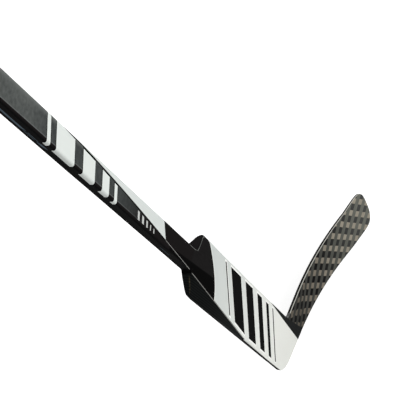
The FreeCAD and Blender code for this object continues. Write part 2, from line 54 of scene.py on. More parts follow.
TOE_SET, TOE_CORNER_Z = SHOULDER - 18.0, SHOULDER - 28.0
HEEL_SET, HEEL_CORNER_Z = SHOULDER - 17.0, SHOULDER - 64.5
BEVEL_END, BEVEL_START = 125.0, 10.6
TOE_BEVEL, HEEL_BEVEL = 15.4, 3.3
BLADE_HEIGHT, BLADE_LENGTH, JOINT_ROUND = 83.0, 374.0, 36.5
CURVE_START, TOE_HOOK, TOE_THIN = 97.0, 49.0, 2.2
JOINT_SPAN = (TOE_LOW + HEEL_REACH) / COS

# Sizes that the looks refine
HEEL_OUT = -HEEL_REACH - 1.6
FACET_END, FACET_START, FACET_SLOPE = 286.0, 15.8, 0.534
LEDGE_X, LEDGE_Z = -HALF_W - 2.5, HEEL_SET + 1.5
FLARE_START, FLARE = SHOULDER + 15.0, 0.07
CREASE_ROUND, REAR_CORNER = 0.9, 4.6

# Points on the arc of each corner, and rounds of corner cutting on the toe
TOE_STEPS, HEEL_STEPS, PADDLE_STEPS, SHAFT_STEPS, FILLET_STEPS = 8, 16, 6, 8, 24
CURVE_ROUNDS = 4


def on_stick(x, y, z):
    """A point of the stick frame in the frame of the part, in metres."""
    run = x + HEEL_REACH
    return Vector((-HEEL_BACK + run * COS - z * SIN, y, run * SIN + z * COS)) * MM


def on_blade(run, y, height):
    """A point of the blade in the frame of the part, in metres."""
    return Vector((run - HEEL_BACK, y, height)) * MM


def part_way(low, high, value):
    """0 at low, 1 at high, and the share of the way between them."""
    return min(max((value - low) / (high - low), 0.0), 1.0)


def smooth(low, high, value):
    """The same share, eased at both ends."""
    t = part_way(low, high, value)
    return t * t * (3 - 2 * t)


def blend(start, end, share):
    """The value a share of the way from start to end."""
    return start + (end - start) * share


CORNER_ROOM = 0.48      # share of a side that the arc of one corner may take
NEARLY_STRAIGHT = 1.57  # half the angle between two sides, in radians
LEAST_TURN, LEAST_REACH = 1e-3, 1e-6


def round_corner(before, corner, after, radius, steps):
    """Points of the arc that rounds a corner, as many for every radius."""
    to_before, to_after = before - corner, after - corner
    room = CORNER_ROOM * min(to_before.length, to_after.length)
    to_before.normalize()
    to_after.normalize()
    half = math.acos(min(max(to_before.dot(to_after), -1.0), 1.0)) / 2
    reach = min(radius / math.tan(half), room) if half < NEARLY_STRAIGHT else 0.0
    start, end = corner + to_before * reach, corner + to_after * reach
    turn = math.pi - 2 * half
    if turn < LEAST_TURN or reach < LEAST_REACH:
        return [start.lerp(end, i / steps) for i in range(steps + 1)]
    middle = corner + (to_before + to_after).normalized() * (reach / math.cos(half))
    spokes = start - middle, end - middle
    points = []
    for i in range(steps + 1):
        f = i / steps
        spoke = spokes[0] * math.sin((1 - f) * turn) + spokes[1] * math.sin(f * turn)
        points.append(middle + spoke / math.sin(turn))
    return points


def rounded_loop(corners, steps):
    """A closed line through corners (x, y, radius)."""
    glint_spots = [Vector(c[:2]) for c in corners]
    count = len(glint_spots)
    points = []
    for i in range(count):
        points += round_corner(glint_spots[i - 1], glint_spots[i], glint_spots[(i + 1) % count], corners[i][2], steps)
    return points


def rounded_chain(corners, steps):
    """An open line through corners (x, y, radius)."""
    glint_spots = [Vector(c[:2]) for c in corners]
    points = [glint_spots[0]]
    for i in range(1, len(glint_spots) - 1):
        points += round_corner(glint_spots[i - 1], glint_spots[i], glint_spots[i + 1], corners[i][2], steps)
    return points + [glint_spots[-1]]


def across_at(chain, z):
    """x of a falling line at the height z."""
    for high, low in zip(chain, chain[1:]):
        if high.y >= z >= low.y and high.y > low.y:
            return blend(high.x, low.x, (high.y - z) / (high.y - low.y))
    return chain[0].x if z > chain[0].y else chain[-1].x


def resample(chain, count):
    """Points at even distances along a line."""
    lengths = [0.0]
    for a, b in zip(chain, chain[1:]):
        lengths.append(lengths[-1] + (b - a).length)
    points, at = [], 0
    for i in range(count):
        goal = lengths[-1] * i / (count - 1)
        while at < len(chain) - 2 and lengths[at + 1] < goal:
            at += 1
        step = lengths[at + 1] - lengths[at]
        points.append(chain[at].lerp(chain[at + 1], (goal - lengths[at]) / step if step else 0.0))
    return points


def cut_corners(points, rounds):
    """A curve along a line of points, by cutting its corners again and again."""
    for _ in range(rounds):
        cut = [points[0]]
        for a, b in zip(points, points[1:]):
            cut += [a.lerp(b, 0.25), a.lerp(b, 0.75)]
        points = cut + [points[-1]]
    return points


MERGE_DISTANCE = 1e-6  # in metres
NORMAL_WEIGHT = 80
LOFT_SHARP, BLADE_SHARP = 38, 60


def finish_mesh(name, bm, sharp):
    """A piece from a bmesh, smooth except at edges that turn by more than an angle in degrees."""
    bmesh.ops.remove_doubles(bm, verts=bm.verts, dist=MERGE_DISTANCE)
    bmesh.ops.recalc_face_normals(bm, faces=bm.faces)
    mesh = bpy.data.meshes.new(name)
    bm.to_mesh(mesh)
    bm.free()
    mesh.shade_smooth()
    mesh.set_sharp_from_angle(angle=math.radians(sharp))
    piece = bpy.data.objects.new(name, mesh)
    bpy.context.scene.collection.objects.link(piece)
    weighted = piece.modifiers.new("weighted", "WEIGHTED_NORMAL")
    weighted.keep_sharp = True
    weighted.weight = NORMAL_WEIGHT
    return piece


def loft(name, rings):
    """A closed skin over rings of points, all with the same count."""
    bm = bmesh.new()
    grid = [[bm.verts.new(p) for p in ring] for ring in rings]
    count = len(rings[0])
    for low, high in zip(grid, grid[1:]):
        for i in range(count):
            j = (i + 1) % count
            bm.faces.new((low[i], low[j], high[j], high[i]))
    bm.faces.new(grid[0])
    bm.faces.new(grid[-1])
    return finish_mesh(name, bm, LOFT_SHARP)


# Paddle. Its edges are falling lines of (x, z, radius): three on the toe side, from front to back, and two on the
# heel side.
LINE_TOP, LOWEST = SHOULDER + 9.0, -JOINT_SPAN * SIN
SOLE_START = (HEEL_OUT, 0.5, HEEL_ROUND)
SOLE_END = (TOE_LOW, LOWEST, 0)
TOE_EDGE = rounded_chain([
    (HALF_W, LINE_TOP, 0), (HALF_W, TOE_SET, 1.6), (TOE_TOP, TOE_CORNER_Z, 4.0), (TOE_LOW, TAPER_END, 40), SOLE_END,
], TOE_STEPS)
TOE_MIDDLE = rounded_chain([
    (HALF_W, LINE_TOP, 0), (HALF_W, TOE_SET - 4.5, 3.0), (TOE_TOP + 3.2, TOE_CORNER_Z, 5.0),
    (TOE_LOW + 0.5, 400.0, 60), (TOE_LOW + 0.5, LOWEST, 0),
], TOE_STEPS)
TOE_BACK = rounded_chain([
    (HALF_W, LINE_TOP, 0), (HALF_W, TOE_SET + 1.5, 1.6), (HALF_W + 12, TOE_SET + 1.0, 10.0),
    (TOE_TOP + 3.4, TOE_CORNER_Z + 2.5, 6.5), (TOE_LOW, TAPER_END, 40), SOLE_END,
], TOE_STEPS)
HEEL_EDGE = rounded_chain([
    (-HALF_W - FLARE * (FLARE_START - SHOULDER), SHOULDER, 0), (LEDGE_X, LEDGE_Z, 3.0),
    (HEEL_OUT, HEEL_CORNER_Z + 3.5, 32.0), SOLE_START, SOLE_END,
], HEEL_STEPS)
HEEL_REAR = rounded_chain([
    (-HALF_W, LINE_TOP, 0), (-HALF_W, 612.0, 3.0), (-39.4, 579.5, 16.0), (HEEL_OUT, 554.0, 30.0), SOLE_START, SOLE_END,
], HEEL_STEPS)
# Height at which the fillet between paddle and blade ends
JOINT_TOP = (BLADE_HEIGHT - (TOE_LOW + HEEL_REACH) * SIN) / COS + JOINT_ROUND * math.tan(math.pi / 4 - TILT / 2)

SIDE_LEAN, HEEL_BELLY = 0.5, 0.4
STEP_DEPTH, STEP_SLOPE, STEP_X = 4.6, 0.2, -17.5
FRONT_ROUND, EDGE_ROUND, REAR_ROUND, SIDE_ROUND, BACK_ROUND, SQUARE = 1.0, 0.9, 1.1, 4.0, 14.0, 0.05
HOOD_FALL, HOOD_SHIFT, HOOD_RISE, HOOD_ROUND, HOOD_EDGE = 2.0, 6.5, 2.4, 9.0, 3.0
CROWN_LOW, CROWN_GAIN = 0.1, 0.756
LEAST_FACET = 0.4
# Heights at which a form of the section begins, and at which it is complete
SETTLED = TOE_SET - 3, SHOULDER - 2
STEP_TOP, STEP_FOOT = (620.5, 616.5), (560, 572)
LEAN_TOP, REAR_TOP = (625, 606), (612, 598)
BELLY_TOP, BELLY_FOOT = (540, 480), (60, 120)
HOOD_FOOT, HOOD_EDGE_FOOT = (430, 600), (585, 606)


def front_at(z):
    """y of the flat front of the paddle."""
    return blend(-FRONT_LOW, -HALF_D, part_way(TAPER_END, SHOULDER, z))


def back_at(z):
    """y of the flat back of the paddle."""
    return blend(BACK_LOW, HALF_D, part_way(TAPER_END, SHOULDER, z))


def paddle_section(z):
    """The paddle at the height z, thin at the blade and like the shaft at the shoulder."""
    toe, toe_mid, toe_back = (across_at(line, z) for line in (TOE_EDGE, TOE_MIDDLE, TOE_BACK))
    heel, heel_rear = across_at(HEEL_EDGE, z), across_at(HEEL_REAR, z)
    front, back = front_at(z), back_at(z)
    width = toe - heel
    # From 1 on the paddle to 0 at the shoulder
    settle = 1.0 - smooth(*SETTLED, z)

    # Front, with the facet behind the crease and the step at the heel-side shoulder
    crease = HEEL_OUT - (HEEL_OUT + FACET_START) * (z - FACET_END) / (SHOULDER - FACET_END)
    step = (STEP_DEPTH + STEP_SLOPE * (STEP_X - heel)) * smooth(*STEP_TOP, z) * smooth(*STEP_FOOT, z)
    facet = max(FACET_SLOPE * (crease - heel), step, 0.0)
    if crease < heel + LEAST_FACET:
        # Where there is no facet, the point of the crease lies on the flat front.
        crease = heel + LEAST_FACET if facet > 0.05 else min(heel + 8.0, 0.4 * heel + 0.6 * toe)
    lean = SIDE_LEAN * smooth(*LEAN_TOP, z)
    heel_mid = blend(heel_rear, heel, lean) - HEEL_BELLY * smooth(*BELLY_FOOT, z) * smooth(*BELLY_TOP, z)

    # Back, with its two bevels and the hood of the toe-side shoulder
    share = part_way(BEVEL_END, SHOULDER, z)
    toe_start = blend(TOE_LOW, BEVEL_START, share)
    heel_start = blend(-HEEL_REACH, -BEVEL_START, share)
    toe_fall = settle * TOE_BEVEL / (TOE_LOW - BEVEL_START) * max(toe_back - toe_start, 0.0)
    heel_fall = settle * HEEL_BEVEL / (HEEL_REACH - BEVEL_START) * max(heel_start - heel_rear, 0.0)
    hood = smooth(*HOOD_FOOT, z) * settle
    crown = CROWN_LOW + CROWN_GAIN * settle
    toe_fall += HOOD_FALL * hood
    edge = blend(SHAFT_CORNER, EDGE_ROUND, settle)
    rear = blend(REAR_CORNER, REAR_ROUND, smooth(*REAR_TOP, z))
    # Each bevel keeps a share of the width, and room for the rounding of its edge.
    toe_start = min(toe_start + HOOD_SHIFT * hood, toe - 0.15 * width, toe_back - min(3.0 * edge, 0.3 * width))
    heel_start = max(heel_start, heel + 0.15 * width, heel_rear + min(2.3 * rear, 0.4 * width))
    heel_start = min(heel_start, toe_start - 0.1 * width)

    # The toe side is square where the blade joins it.
    toe_round, back_round = edge, edge + (0.2 + HOOD_EDGE * smooth(*HOOD_EDGE_FOOT, z)) * settle
    if z < JOINT_TOP:
        toe_round = back_round = SQUARE
        toe_mid = toe
    corners = [
        (toe, front, toe_round),
        (max(crease, heel + 0.02), front, FRONT_ROUND),
        (heel, front + facet, CREASE_ROUND),
        (heel_mid, (front + facet + back - heel_fall) / 2, SIDE_ROUND),
        (heel_rear, back - heel_fall, rear),
        (heel_start, back, BACK_ROUND),
        (toe_start, back, BACK_ROUND),
        (blend(toe_start, toe_back, crown), back - crown * toe_fall + HOOD_RISE * hood, HOOD_ROUND),
        (toe_back, back - toe_fall, back_round),
        (toe_mid, (front + back - toe_fall) / 2, SIDE_ROUND),
    ]
    return [on_stick(p.x, p.y, z) for p in rounded_loop(corners, PADDLE_STEPS)]


def steps_down(high, low, step):
    """Heights from high to just above low."""
    count = max(int(round((high - low) / step)), 1)
    return [blend(high, low, i / count) for i in range(count)]


# Sections lie closest where the outline turns, and on both sides of the joint's top.
DOME_TOP, DOME_FOOT, SIDES_TOP, SIDES_FOOT, HEEL_TURN = TOE_SET + 2, TOE_CORNER_Z - 7, 548, 96, 34
JOINT_ABOVE, JOINT_BELOW, LAST = JOINT_TOP + 0.1, JOINT_TOP - 0.1, LOWEST + 0.4
paddle_levels = (
    steps_down(SHOULDER, DOME_TOP, 2.5) + steps_down(DOME_TOP, DOME_FOOT, 0.6) + steps_down(DOME_FOOT, SIDES_TOP, 2.2)
    + steps_down(SIDES_TOP, SIDES_FOOT, 14) + steps_down(SIDES_FOOT, JOINT_ABOVE, 4) + [JOINT_ABOVE, JOINT_BELOW]
    + steps_down(JOINT_TOP - 1, HEEL_TURN, 4) + steps_down(HEEL_TURN, LAST, 1.7) + [LAST]
)
paddle = loft("paddle", [paddle_section(z) for z in paddle_levels])

# Shaft and plug
SIDE_HOLLOW, SIDE_BOW = 0.25, 60
FULL_BACK, FULL_CORNER, LEAST_CORNER = 0.35, 1.3, 0.6
# Heights at which a form of the section begins, and at which it is complete
CREASE_END, REAR_FOOT = (SHOULDER + 12, SHOULDER + 150), (950, 650)
FULL_FOOT, FULL_TOP = (900, 1200), (SHAFT_TOP - 8, SHAFT_TOP - 70)
HOLLOW_FOOT, HOLLOW_TOP = (SHOULDER, SHOULDER + 90), (SHAFT_TOP, SHAFT_TOP - 40)


def shaft_section(z, inset=0.0, hollow=0.0):
    """The shaft at the height z. Its corner between front and heel side sharpens toward the paddle."""
    w, d = HALF_W - inset, HALF_D - inset
    r = max(SHAFT_CORNER - inset, LEAST_CORNER)
    crease = blend(CREASE_ROUND, r, smooth(*CREASE_END, z))
    full = smooth(*FULL_FOOT, z) * smooth(*FULL_TOP, z)
    rear = r + (REAR_CORNER - SHAFT_CORNER) * smooth(*REAR_FOOT, z) - FULL_CORNER * full
    back = d + FULL_BACK * full
    flare = FLARE * max(FLARE_START - z, 0.0)
    corners = [
        (w, -d, r), (0, -d, SIDE_BOW), (-w - flare, -d, crease), (hollow - w, 0, SIDE_BOW),
        (-w, back, rear), (0, back, SIDE_BOW), (w, back, r), (w - hollow, 0, SIDE_BOW),
    ]
    return [on_stick(p.x, p.y, z) for p in rounded_loop(corners, SHAFT_STEPS)]


# Sections lie closest at the shoulder and near the top.
shaft_levels = [SHOULDER + 3 * i for i in range(8)] + [SHOULDER + 12 * i for i in range(2, 14)]
shaft_levels += [SHOULDER + 150 + 30 * i for i in range(1, 11)] + [SHAFT_TOP - 90 + 10 * i for i in range(10)]
shaft = loft("shaft", [
    shaft_section(z, 0.0, SIDE_HOLLOW * smooth(*HOLLOW_FOOT, z) * smooth(*HOLLOW_TOP, z)) for z in shaft_levels
])

# The plug as (height above the end of the tube, inset): stem, cap with a fine groove, rounding and shallow dish
CAP, CAP_ROUND = 6.12, 2.5
plug_profile = [
    (-32, 3.2), (-31, 2.4), (0.1, 2.4), (0.1, 0.5), (0.5, 0.0), (2.2, 0.0), (2.5, 0.35), (2.9, 0.35), (3.2, 0.0),
]
for i in range(1, 9):
    a = i * math.pi / 16
    plug_profile.append((CAP - CAP_ROUND + CAP_ROUND * math.sin(a), CAP_ROUND - CAP_ROUND * math.cos(a)))
plug_profile += [(CAP, 4.2), (CAP - 0.3, 4.6), (CAP - 0.7, 4.9), (CAP - 0.8, 5.4), (CAP - 0.8, 7.5)]
plug = loft("butt_plug", [shaft_section(SHAFT_TOP + up, inset) for up, inset in plug_profile])


# Blade
def bend_radius(hook):
    """Radius of a face that comes to the front by the hook at the end of the blade."""
    return ((BLADE_LENGTH - CURVE_START) ** 2 + hook ** 2) / (2 * hook)


def bend(run, hook):
    """How far a face has turned to the front, as y."""
    radius = bend_radius(hook)
    past = max(run - CURVE_START, 0.0)
    return math.sqrt(radius ** 2 - past ** 2) - radius


def blade_front(run):
    """y of the front face."""
    return -FRONT_LOW + bend(run, TOE_HOOK)


def blade_back(run):
    """y of the back face, which comes nearer to the front toward the toe."""
    return BACK_LOW + bend(run, TOE_HOOK + TOE_THIN)


def along_face(run):
    """Length along the curved face from the heel corner."""
    radius = bend_radius(TOE_HOOK)
    return run if run < CURVE_START else CURVE_START + radius * math.asin((run - CURVE_START) / radius)


def on_joint(height):
    """Run at which the joint with the paddle stands at a height."""
    return JOINT_SPAN - height * SIN / COS


# The outline as (run, height): down the joint's fillet, along the top, round the toe and back along the sole
TOE_LINE = [
    (290.0, 96.6), (304.0, 99.6), (316.0, 102.6), (325.0, 104.6), (333.4, 104.8), (340.4, 101.2), (345.7, 93.6),
    (350.3, 82.6), (354.2, 71.4), (357.6, 61.0), (360.5, 51.2), (362.6, 42.2), (363.7, 34.0), (363.8, 26.4),
    (362.8, 19.6), (360.0, 14.2), (355.0, 10.4), (346.6, 7.3), (333.0, 4.3), (319.0, 1.9), (305.0, 0.3), (291.0, 0.0),
]
joint_height = (TOE_LOW + HEEL_REACH) * SIN + JOINT_TOP * COS
blade_chain = rounded_chain([
    (on_joint(joint_height), joint_height, 0), (on_joint(BLADE_HEIGHT), BLADE_HEIGHT, JOINT_ROUND), (*TOE_LINE[0], 0),
], FILLET_STEPS)
blade_chain += cut_corners([Vector(spot) for spot in TOE_LINE], CURVE_ROUNDS)[1:] + [Vector((JOINT_SPAN, 0.0))]

# The rim in two halves of as many points, which meet at the foremost part of the toe
CHAIN, RIM_SAMPLES, TIP_HEIGHT, TIP_PULL = 190, 2000, 45, 0.4
ring_points = resample(blade_chain, RIM_SAMPLES)
split = min(range(RIM_SAMPLES), key=lambda i: abs(ring_points[i].y - TIP_HEIGHT) * TIP_PULL - ring_points[i].x)
rim = resample(ring_points[:split + 1], CHAIN) + resample(ring_points[split:], CHAIN)[1:]


def inward(i):
    """Direction from a point of the rim into the blade."""
    a, b = rim[max(i - 1, 0)], rim[min(i + 1, len(rim) - 1)]
    way = (b - a).normalized()
    return Vector((way.y, -way.x))


def rim_point(i, inset):
    """A point of the rim moved inward, but not past the joint."""
    spot = rim[i] + inward(i) * inset
    if i == len(rim) - 1 or spot.x < on_joint(spot.y):
        spot.x = on_joint(spot.y)
    return spot


def rim_points(inset):
    """The whole rim moved inward."""
    return [rim_point(i, inset) for i in range(len(rim))]


FRONT_EDGE, BACK_EDGE, ROUND_STEPS, FACE_STEPS = 1.0, 0.8, 6, 12
# A painted highlight runs along the top edge, between these depths behind the front rounding, from near the joint to
# the toe.
LIP, HIGHLIGHT_FIRST, HIGHLIGHT_END = (0.7, 2.0), 14, 339
WEAVE_INDEX, EDGE_INDEX, HIGHLIGHT_INDEX = 0, 1, 2
bm = bmesh.new()
run_height = {}


def blade_vertex(spot, y):
    """A vertex of the blade, with its place on the unrolled face."""
    vertex = bm.verts.new(on_blade(spot.x, y, spot.y))
    run_height[vertex] = (along_face(spot.x) * MM, spot.y * MM)
    return vertex


quarter = [step / ROUND_STEPS * math.pi / 2 for step in range(ROUND_STEPS + 1)]
rings = []
for a in reversed(quarter):
    rings.append([blade_vertex(s, blade_front(s.x) + FRONT_EDGE * (1 - math.sin(a)))
                  for s in rim_points(FRONT_EDGE * (1 - math.cos(a)))])
for deep in LIP:
    rings.append([blade_vertex(s, blade_front(s.x) + FRONT_EDGE + deep) for s in rim_points(0.0)])
for a in quarter:
    rings.append([blade_vertex(s, blade_back(s.x) - BACK_EDGE * (1 - math.sin(a)))
                  for s in rim_points(BACK_EDGE * (1 - math.cos(a)))])
for at, (low, high) in enumerate(zip(rings, rings[1:])):
    for i in range(len(rim) - 1):
        face = bm.faces.new((low[i], low[i + 1], high[i + 1], high[i]))
        topped = HIGHLIGHT_FIRST < i < CHAIN and rim[i].x < HIGHLIGHT_END
        # The band on the top edge takes the painted highlight
        if topped and at == ROUND_STEPS + 1:
            face.material_index = HIGHLIGHT_INDEX
        elif ROUND_STEPS + topped <= at <= ROUND_STEPS + 2:
            face.material_index = EDGE_INDEX
        else:
            face.material_index = WEAVE_INDEX
for ring, inset, side in ((rings[0], FRONT_EDGE, blade_front), (rings[-1], BACK_EDGE, blade_back)):
    columns = []
    for i in range(CHAIN - 1):
        j = len(rim) - 1 - i
        top, low = rim_point(i, inset), rim_point(j, inset)
        middle = [top.lerp(low, k / FACE_STEPS) for k in range(1, FACE_STEPS)]
        columns.append([ring[i]] + [blade_vertex(s, side(s.x)) for s in middle] + [ring[j]])
    for a, b in zip(columns, columns[1:]):
        for k in range(FACE_STEPS):
            bm.faces.new((a[k], a[k + 1], b[k + 1], b[k]))
    last, tip = columns[-1], ring[CHAIN - 1]
    for k in range(FACE_STEPS):
        bm.faces.new((last[k], last[k + 1], tip))
uv = bm.loops.layers.uv.new("run_height")
for face in bm.faces:
    for loop in face.loops:
        loop[uv].uv = run_height[loop.vert]
bmesh.ops.holes_fill(bm, edges=[e for e in bm.edges if e.is_boundary])
blade = finish_mesh("blade", bm, BLADE_SHARP)


# Materials
COLOUR_A, COLOUR_B, COLOUR_OUT = 6, 7, 2  # sockets of a mix node that takes colours


class Look:
    """The nodes of one material. Inputs are numbers, colours or outputs of other nodes."""

    def __init__(self, name):
        self.material = bpy.data.materials.new(name)
        self.material.use_nodes = True
        self.tree = self.material.node_tree
        self.shader = self.tree.nodes["Principled BSDF"]

    def node(self, kind, **settings):
        node = self.tree.nodes.new(kind)
        for key, value in settings.items():
            setattr(node, key, value)
        return node

    def feed(self, socket, value):
        """Links an output to an input, or sets a constant there."""
        if isinstance(value, bpy.types.NodeSocket):
            self.tree.links.new(value, socket)
        else:
            socket.default_value = value

    def set(self, **values):
        """Inputs of the shader, with _ for each space in their names."""
        for key, value in values.items():
            self.feed(self.shader.inputs[key.replace("_", " ")], value)

    def math(self, operation, *values):
        node = self.node("ShaderNodeMath", operation=operation)
        for socket, value in zip(node.inputs, values):
            self.feed(socket, value)
        return node.outputs[0]

    def add(self, a, b):
        return self.math("ADD", a, b)

    def less(self, a, b):
        return self.math("SUBTRACT", a, b)

    def times(self, a, b):
        return self.math("MULTIPLY", a, b)

    def smaller(self, a, b):
        return self.math("MINIMUM", a, b)

    def larger(self, a, b):
        return self.math("MAXIMUM", a, b)

    def gap(self, a, b):
        """Distance between two values."""
        return self.math("ABSOLUTE", self.less(a, b))

    def line(self, value, slope, start):
        """start + slope * value"""
        return self.math("MULTIPLY_ADD", value, slope, start)

    def curve(self, value, bend, slope, start):
        """start + slope * value + bend * value squared"""
        return self.line(self.line(value, bend, slope), value, start)

    def stretch(self, value, low, high):
        """A share of 0 to 1 spread from low to high."""
        return self.line(value, high - low, low)

    def both(self, *masks):
        """All masks multiplied."""
        out = masks[0]
        for mask in masks[1:]:
            out = self.times(out, mask)
        return out

    def over(self, value, edge, soft=0.25):
        """0 below the edge and 1 above it."""
        node = self.node("ShaderNodeMapRange", interpolation_type="SMOOTHSTEP")
        self.feed(node.inputs["Value"], self.less(value, edge))
        node.inputs["From Min"].default_value = -soft
        node.inputs["From Max"].default_value = soft
        return node.outputs["Result"]

    def under(self, value, edge, soft=0.25):
        """1 below the edge and 0 above it."""
        return self.less(1.0, self.over(value, edge, soft))

    def between(self, value, low, high, soft=0.25):
        """1 between two edges and 0 outside them."""
        return self.both(self.over(value, low, soft), self.under(value, high, soft))

    def mix(self, share, low, high):
        """A colour the share of the way from low to high."""
        node = self.node("ShaderNodeMix", data_type="RGBA")
        self.feed(node.inputs["Factor"], share)
        for socket, value in ((node.inputs[COLOUR_A], low), (node.inputs[COLOUR_B], high)):
            self.feed(socket, value)
        return node.outputs[COLOUR_OUT]

    def ramp(self, value, stops):
        """Steps of a value: the stops are (position, level) in rising order, from 0 to 1."""
        node = self.node("ShaderNodeValToRGB")
        node.color_ramp.interpolation = "CONSTANT"
        points = node.color_ramp.elements
        while len(points) < len(stops):
            points.new(1.0)
        for point, (at, level) in zip(points, stops):
            point.position = at
            point.color = (level, level, level, 1.0)
        self.feed(node.inputs["Fac"], value)
        return node.outputs["Color"]

    def steps(self, value, stops, first, last):
        """The same with positions from first to last."""
        share = self.times(self.less(value, first), 1 / (last - first))
        return self.ramp(share, [((at - first) / (last - first), level) for at, level in stops])

    def bars(self, value, spans, first, last, keyline=0.0):
        """1 on each span of a value, or 0.5 on a keyline at both ends of the span and 1 between."""
        stops = [(first, 0.0)]
        for low, high in spans:
            if keyline:
                stops += [(low, 0.5), (low + keyline, 1.0), (high - keyline, 0.5), (high, 0.0)]
            else:
                stops += [(low, 1.0), (high, 0.0)]
        return self.steps(value, stops, first, last)

    def within(self, reach, keyline):
        """0 where the reach is negative, 0.5 on a keyline and 1 past it."""
        unit = 0.05
        return self.ramp(self.line(reach, unit, 0.5), [(0.0, 0.0), (0.5, 0.5), (0.5 + unit * keyline, 1.0)])

    def dot(self, vector, way):
        node = self.node("ShaderNodeVectorMath", operation="DOT_PRODUCT")
        self.feed(node.inputs[0], vector)
        node.inputs[1].default_value = way
        return node.outputs["Value"]

    def object_place(self):
        """The place on the object, in metres."""
        return self.node("ShaderNodeTexCoord").outputs["Object"]

    def part_place(self):
        """x, y and z in the frame of the part, in millimetres."""
        at = self.object_place()
        return [self.dot(at, way) for way in ((1 / MM, 0, 0), (0, 1 / MM, 0), (0, 0, 1 / MM))]

    def stick_place(self):
        """x, y and z in the stick frame, in millimetres."""
        at = self.object_place()
        across = self.dot(at, (COS / MM, 0.0, SIN / MM))
        up = self.dot(at, (-SIN / MM, 0.0, COS / MM))
        deep = self.dot(at, (0.0, 1 / MM, 0.0))
        return self.add(across, HEEL_BACK * COS - HEEL_REACH), deep, self.less(up, HEEL_BACK * SIN)

    def point(self, x, y, z):
        node = self.node("ShaderNodeCombineXYZ")
        for socket, value in zip(node.inputs, (x, y, z)):
            self.feed(socket, value)
        return node.outputs[0]

    def noise(self, vector, scale, detail=3.0):
        node = self.node("ShaderNodeTexNoise")
        self.feed(node.inputs["Vector"], vector)
        node.inputs["Scale"].default_value = scale
        node.inputs["Detail"].default_value = detail
        return node.outputs["Fac"]

    def streaks(self, place, scales, detail=3.0):
        """Noise with a scale of its own along each axis."""
        return self.noise(self.point(*(self.times(value, scale) for value, scale in zip(place, scales))), 1.0, detail)

    def fine_lines(self, x, z, x_pitch, z_pitch):
        """A wave across slanted lines, from -1 to 1."""
        return self.math("SINE", self.line(x, x_pitch, self.times(z, z_pitch)))

    def bump(self, height, strength, distance):
        node = self.node("ShaderNodeBump")
        node.inputs["Strength"].default_value = strength
        node.inputs["Distance"].default_value = distance * MM
        self.feed(node.inputs["Height"], height)
        return node.outputs["Normal"]


def colour(red, green, blue):
    """A colour given as sRGB from 0 to 255."""
    def linear(v):
        v /= 255
        return v / 12.92 if v <= 0.04045 else ((v + 0.055) / 1.055) ** 2.4
    return (linear(red), linear(green), linear(blue), 1.0)


# Colours, and pairs of colours to mix
DEEP, BRIGHT = colour(5, 5, 5), colour(244, 245, 241)
# The pinstripe's silver, and a painted highlight for the rims of the toe-side shoulder
SILVER, RIM_HIGHLIGHT = colour(158, 158, 153), colour(122, 125, 121)
# Grey painted sheen of the satin coat, on the shaft and on its grip
SATIN_SHEEN = colour(46, 49, 49), colour(78, 81, 80)
GRIP_SHEEN = colour(58, 61, 60), colour(98, 101, 99)
# Painted sheen at the toe corner, and a painted highlight along the heel-side edge of the shaft
TOE_CORNER_SHEEN, HEEL_EDGE_HIGHLIGHT = colour(112, 115, 113), colour(120, 123, 121)
# Black for the narrow sides, painted darker as painted shade, and for the wide faces; then the black of the painted
# shade strip
SHAFT_BLACK, SHAFT_SHADE = (colour(16, 16, 16), colour(25, 23, 23)), colour(9, 9, 9)
SHAFT_WHITE, TICK_GREY, SLATE = colour(219, 224, 220), colour(196, 198, 195), colour(92, 105, 115)
WEDGE_WHITE = colour(205, 210, 207), colour(215, 220, 217)
# The field's white runs from the blade to a darker white at the shoulder, as painted shade
PADDLE_WHITE, PADDLE_LINE = (colour(237, 238, 232), colour(203, 208, 205)), colour(190, 194, 191)
PADDLE_BLACK, PADDLE_SHADE = (colour(22, 21, 21), colour(31, 30, 30)), colour(6, 6, 6)
# The third colour here is a brownish painted glint on the step of the heel-side shoulder
PADDLE_BAR, TOE_STRIP, STEP_GLINT = colour(16, 16, 16), colour(33, 34, 34), colour(92, 85, 66)
FACET_BLACK, FACET_PALE = (colour(12, 13, 13), colour(26, 28, 28)), colour(46, 48, 48)
# The second pair of each weave colour is its painted shade near the joint
BEIGE, BEIGE_SHADED = (colour(122, 116, 104), colour(174, 167, 152)), (colour(84, 78, 69), colour(142, 134, 121))
DARK, DARK_SHADED = (colour(57, 58, 57), colour(87, 88, 86)), (colour(13, 13, 13), colour(25, 25, 25))
GREY, GREY_SHADED = (colour(86, 87, 81), colour(126, 127, 118)), (colour(46, 46, 44), colour(86, 86, 81))
WEAVE_SHADE, LAP_BLACK = colour(22, 22, 21), colour(31, 32, 32)
# Black of the blade's edge, and the painted highlight along its top edge
EDGE_BLACK, TOP_EDGE_HIGHLIGHT = (colour(14, 14, 14), colour(40, 40, 39)), (colour(150, 149, 141), colour(212, 211, 203))

# The bars of both designs are spans of a slanted height.
SHAFT_SLANT, SHAFT_SPAN, SHAFT_KEY = -0.62, (780.0, 1240.0), 1.6
SHAFT_BARS = (962, 976.6), (994, 1021.6), (1046, 1089.6), (1116, 1177.6), (1192, 1206.6)
SHAFT_TICKS = (812, 815), (826, 830), (841, 846), (857, 863), (874, 881)
PADDLE_SLANT, PADDLE_SPAN, PADDLE_KEY = -1.36, (60.0, 500.0), 2.4
PADDLE_BARS = (112, 124), (146, 170), (194, 232), (258, 310), (336, 402), (424, 436)
KEY_LEVEL, BAR_LEVEL = (0.25, 0.02), (0.75, 0.02)
PIN_START, PIN_SLOPE, PIN_HALF = -15.06, 0.0696, (0.3, 0.2)
# Strength of the painted rim highlight
RIM_HIGHLIGHT_SHARE = 0.8
LOW_SPECULAR = 0.0002
SHADE_LINE, SHADE_SOFT = (-0.041, -4.7), 0.7


